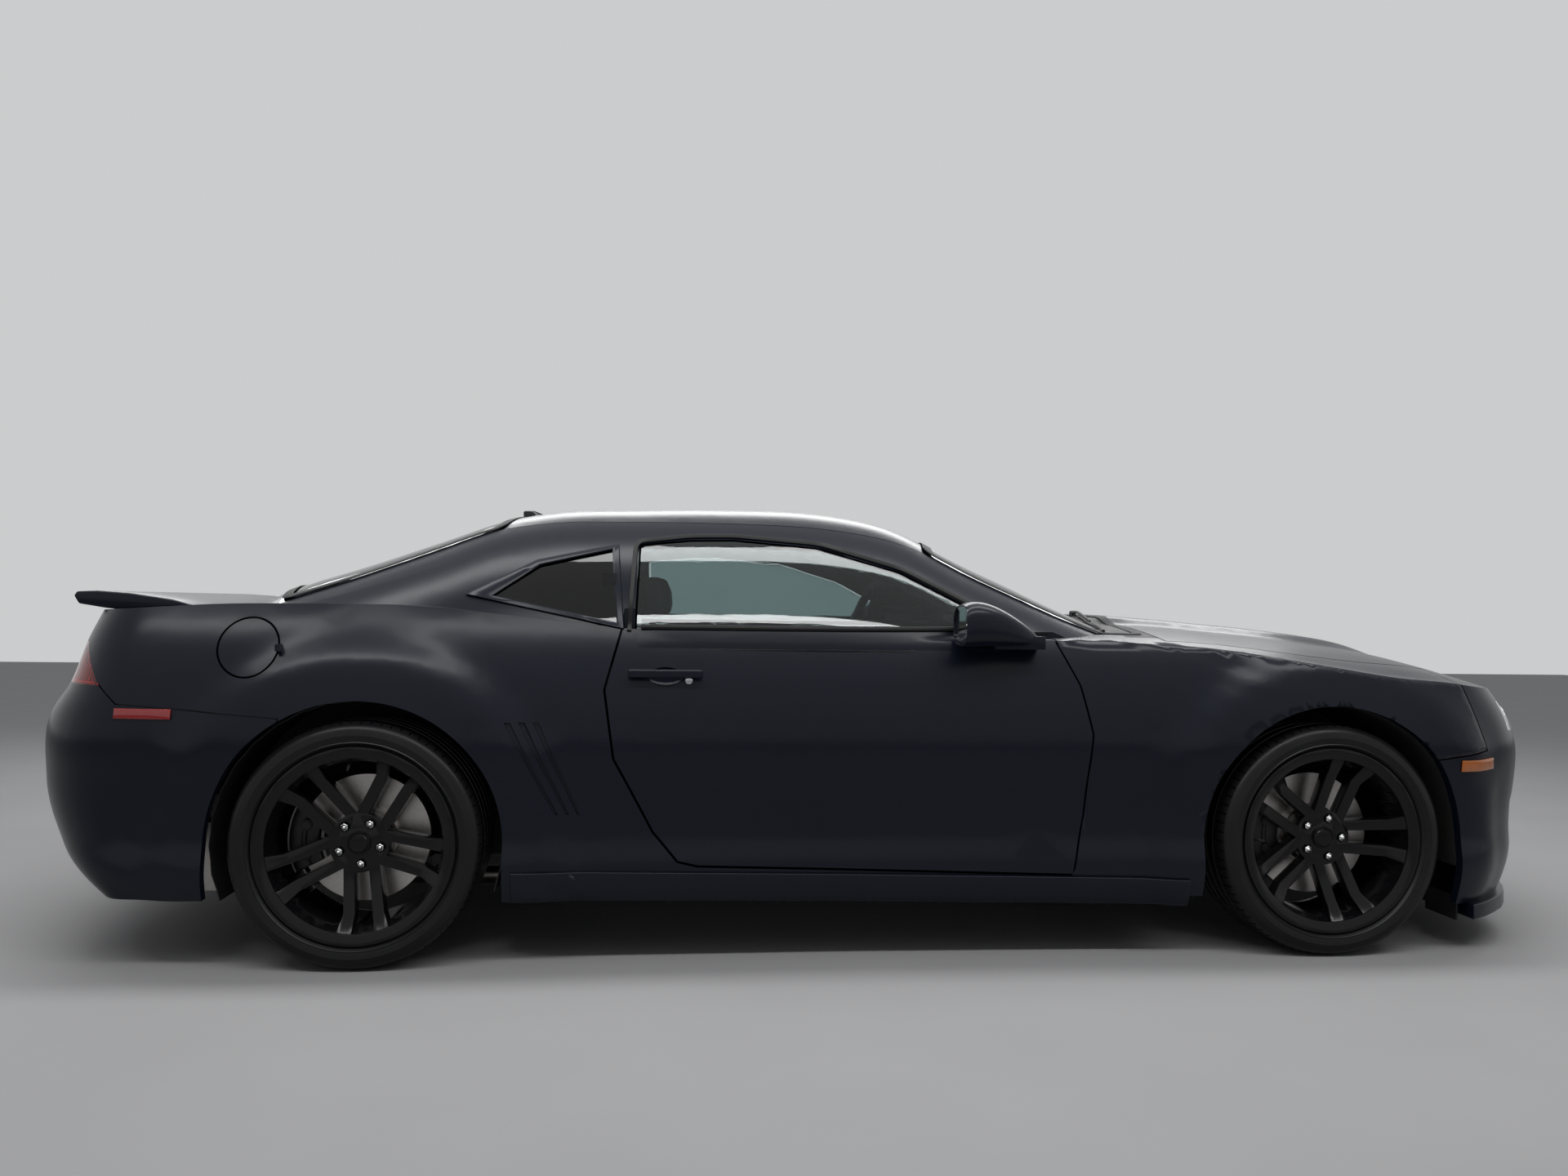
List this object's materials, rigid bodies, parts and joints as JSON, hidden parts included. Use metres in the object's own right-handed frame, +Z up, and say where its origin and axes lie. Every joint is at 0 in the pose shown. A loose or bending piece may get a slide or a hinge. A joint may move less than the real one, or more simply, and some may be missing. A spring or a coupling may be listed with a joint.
{
  "type": "muscle car",
  "caption": "Satin-black two-door muscle car with split-spoke wheels, working doors, hood, trunk lid and fuel door, and steered front wheels.",
  "frame": {"origin": "on the ground under the middle of the length and width", "axes": "+X to the front, +Y to the left side, +Z up"},
  "size_m": [4.8385, 2.0676, 1.3621],
  "materials": {
    "body_paint": "satin",
    "gloss_black": "gloss",
    "glass": "polished",
    "dark_glass": "polished",
    "black_plastic": "matte",
    "lamp_clear": "polished",
    "lamp_red": "gloss",
    "underbody": "matte",
    "cast_metal": "rough",
    "exhaust_metal": "brushed",
    "engine_metal": "rough",
    "cabin_plastic": "grained",
    "seat_leather": "grained",
    "wheel_black": "satin",
    "tyre": "moulded",
    "disc_steel": "turned"
  },
  "bodies": {
    "body": {"body_side_right": "body_paint", "body_side_left": "body_paint", "roof_panel": "body_paint", "fender_right": "body_paint", "fender_left": "body_paint", "fixed_glass": "dark_glass", "front_bumper": "body_paint", "rear_bumper": "body_paint", "splitter": "black_plastic", "grille": "black_plastic", "headlamps": "lamp_clear", "tail_lamps": "lamp_red", "side_skirts": "black_plastic", "cowl": "black_plastic", "floor_pan": "underbody", "front_structure": "underbody", "rear_structure": "underbody", "subframes": "cast_metal", "rear_carriers": "cast_metal", "driveline": "cast_metal", "exhaust": "exhaust_metal", "fuel_tank": "black_plastic", "engine_block": "engine_metal", "dashboard": "cabin_plastic", "front_seats": "seat_leather", "rear_seat": "seat_leather"},
    "door_right": {"door_right": "body_paint", "door_glass_right": "glass", "mirror_right": "body_paint"},
    "door_left": {"door_left": "body_paint", "door_glass_left": "glass", "mirror_left": "body_paint"},
    "hood": {"hood": "body_paint"},
    "trunk_lid": {"trunk_lid": "body_paint", "spoiler": "gloss_black"},
    "fuel_door": {"fuel_door": "body_paint"},
    "steering_wheel": {"steering_wheel": "cabin_plastic"},
    "knuckle_right": {"knuckle_right": "cast_metal"},
    "knuckle_left": {"knuckle_left": "cast_metal"},
    "wheel_front_right": {"wheel_front_right": "wheel_black", "tyre_front_right": "tyre", "disc_front_right": "disc_steel"},
    "wheel_front_left": {"wheel_front_left": "wheel_black", "tyre_front_left": "tyre", "disc_front_left": "disc_steel"},
    "wheel_rear_right": {"wheel_rear_right": "wheel_black", "tyre_rear_right": "tyre", "disc_rear_right": "disc_steel"},
    "wheel_rear_left": {"wheel_rear_left": "wheel_black", "tyre_rear_left": "tyre", "disc_rear_left": "disc_steel"}
  },
  "joints": [
    {"name": "steer_right", "type": "hinge", "parent": "body", "child": "knuckle_right", "pos_m": [1.48, -0.731, 0.347], "axis": [0, 0, 1], "range_deg": [-32, 32]},
    {"name": "spin_front_right", "type": "hinge", "parent": "knuckle_right", "child": "wheel_front_right", "pos_m": [1.48, -0.805, 0.347], "axis": [0, 1, 0], "continuous": true},
    {"name": "spin_rear_right", "type": "hinge", "parent": "body", "child": "wheel_rear_right", "pos_m": [-1.372, -0.805, 0.347], "axis": [0, 1, 0], "continuous": true},
    {"name": "open_door_right", "type": "hinge", "parent": "body", "child": "door_right", "pos_m": [0.64, -0.925, 0.6], "axis": [0, 0, 1], "range_deg": [0, 65]},
    {"name": "steer_left", "type": "hinge", "parent": "body", "child": "knuckle_left", "pos_m": [1.48, 0.731, 0.347], "axis": [0, 0, 1], "range_deg": [-32, 32]},
    {"name": "spin_front_left", "type": "hinge", "parent": "knuckle_left", "child": "wheel_front_left", "pos_m": [1.48, 0.805, 0.347], "axis": [0, 1, 0], "continuous": true},
    {"name": "spin_rear_left", "type": "hinge", "parent": "body", "child": "wheel_rear_left", "pos_m": [-1.372, 0.805, 0.347], "axis": [0, 1, 0], "continuous": true},
    {"name": "open_door_left", "type": "hinge", "parent": "body", "child": "door_left", "pos_m": [0.64, 0.925, 0.6], "axis": [0, 0, -1], "range_deg": [0, 65]},
    {"name": "turn_steering_wheel", "type": "hinge", "parent": "body", "child": "steering_wheel", "pos_m": [0.24, 0.37, 0.96], "axis": [-0.9272, 0, 0.3746], "range_deg": [-480, 480]},
    {"name": "open_hood", "type": "hinge", "parent": "body", "child": "hood", "pos_m": [1.012, 0, 1.014], "axis": [0, -1, 0], "range_deg": [0, 52]},
    {"name": "open_trunk_lid", "type": "hinge", "parent": "body", "child": "trunk_lid", "pos_m": [-1.806, 0, 1.024], "axis": [0, 1, 0], "range_deg": [0, 75]},
    {"name": "open_fuel_door", "type": "hinge", "parent": "body", "child": "fuel_door", "pos_m": [-1.604, -0.942, 0.895], "axis": [0, 0, 1], "range_deg": [0, 85]}
  ],
  "couplings": [
    {"joint": "steer_right", "follows": "turn_steering_wheel", "ratio": 0.066667},
    {"joint": "steer_left", "follows": "turn_steering_wheel", "ratio": 0.066667}
  ]
}
